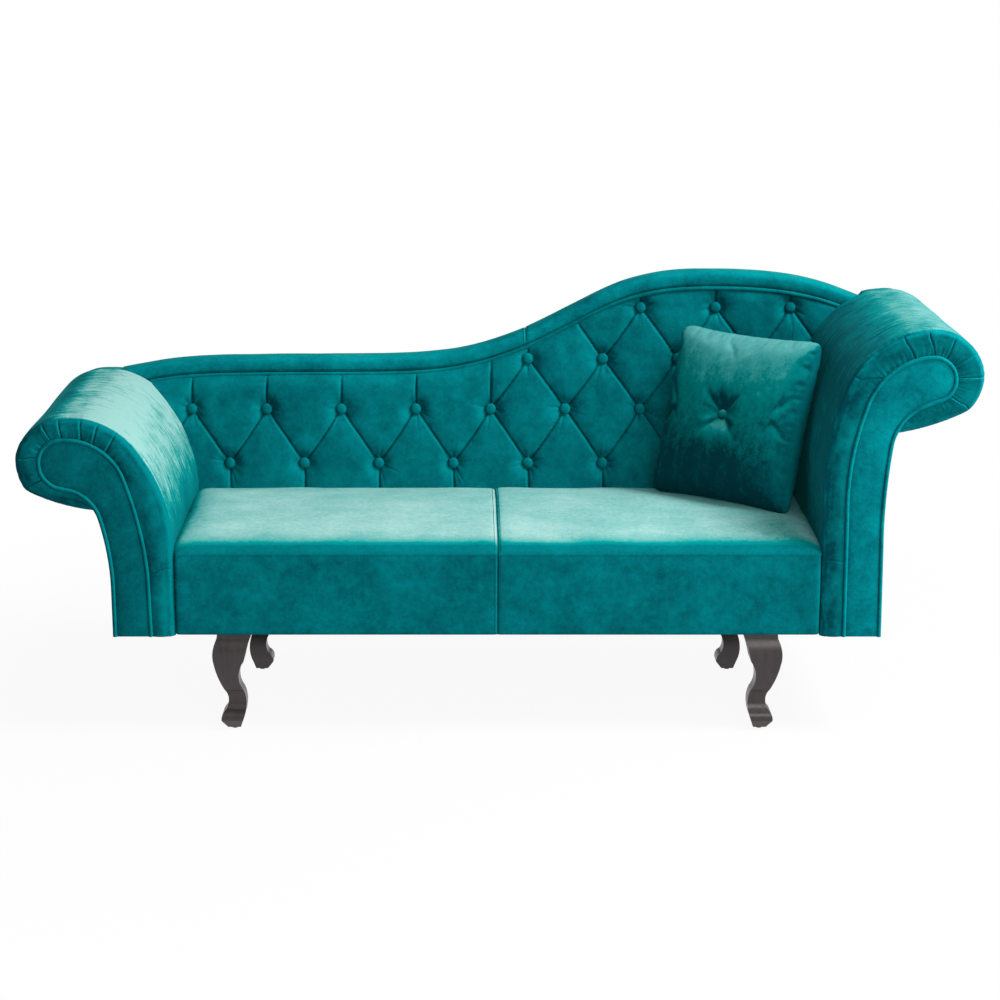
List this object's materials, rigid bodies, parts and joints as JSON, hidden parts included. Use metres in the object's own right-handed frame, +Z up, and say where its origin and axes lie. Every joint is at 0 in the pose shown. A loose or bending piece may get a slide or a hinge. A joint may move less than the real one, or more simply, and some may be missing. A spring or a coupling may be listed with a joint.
{
  "type": "chaise longue",
  "caption": "Long buttoned seat with two scroll arms of different height, a back whose top rises in a curve, four shaped legs and a loose pillow.",
  "frame": {"origin": "on the floor, under the middle of the whole piece", "axes": "+X along the seat towards the high arm, +Y from the seat to the back, +Z up"},
  "size_m": [1.863, 0.624, 0.8421],
  "materials": {
    "velvet": "teal velvet, short pile with a pale sheen",
    "stained_wood": "dark espresso stain, semi-gloss lacquer",
    "foam": "polyurethane foam with wadding",
    "pillow_filling": "polyester fibre",
    "webbing": "woven elastic webbing",
    "black_cloth": "spun-bonded cloth",
    "steel": "zinc plated",
    "nylon": "black nylon",
    "hardboard": "raw",
    "plywood": "raw birch plywood",
    "beech": "raw beech"
  },
  "bodies": {
    "root": {"arm_bolts": "steel", "back_bolts": "steel", "back_bottom_rail": "beech", "back_buttons": "velvet", "back_foam": "foam", "back_piping": "velvet", "back_rim_padding": "foam", "back_stiles": "beech", "back_top_rail": "plywood", "back_tufted_cover": "velvet", "back_webbing": "webbing", "cross_rails": "beech", "dust_cover": "black_cloth", "foot_glides": "nylon", "front_left_leg": "stained_wood", "front_rail": "beech", "front_right_leg": "stained_wood", "left_arm_facing": "velvet", "left_arm_foam": "foam", "left_arm_front_board": "plywood", "left_arm_inside_cover": "velvet", "left_arm_lining": "hardboard", "left_arm_outside_cover": "velvet", "left_arm_piping": "velvet", "left_arm_rails": "beech", "left_arm_rear_board": "plywood", "left_back_end_board": "plywood", "left_back_rim_cover": "velvet", "left_back_side_cover": "velvet", "left_seat_cover": "velvet", "leg_blocks": "beech", "leg_hanger_bolts": "steel", "outer_back_cover": "velvet", "rear_left_leg": "stained_wood", "rear_rail": "beech", "rear_right_leg": "stained_wood", "right_arm_facing": "velvet", "right_arm_foam": "foam", "right_arm_front_board": "plywood", "right_arm_inside_cover": "velvet", "right_arm_lining": "hardboard", "right_arm_outside_cover": "velvet", "right_arm_piping": "velvet", "right_arm_rails": "beech", "right_arm_rear_board": "plywood", "right_back_end_board": "plywood", "right_back_rim_cover": "velvet", "right_back_side_cover": "velvet", "right_seat_cover": "velvet", "seat_border_cover": "velvet", "seat_border_padding": "foam", "seat_deck_cloth": "black_cloth", "seat_foam": "foam", "seat_webbing": "webbing", "side_rails": "beech"},
    "pillow": {"pillow_cover": "velvet", "pillow_filling": "pillow_filling", "pillow_buttons": "velvet"}
  },
  "joints": [
    {"name": "pillow_lift", "type": "slide", "parent": "root", "child": "pillow", "axis": [-0.4215, -0.4215, 0.8029], "range_m": [0, 0.3]}
  ]
}
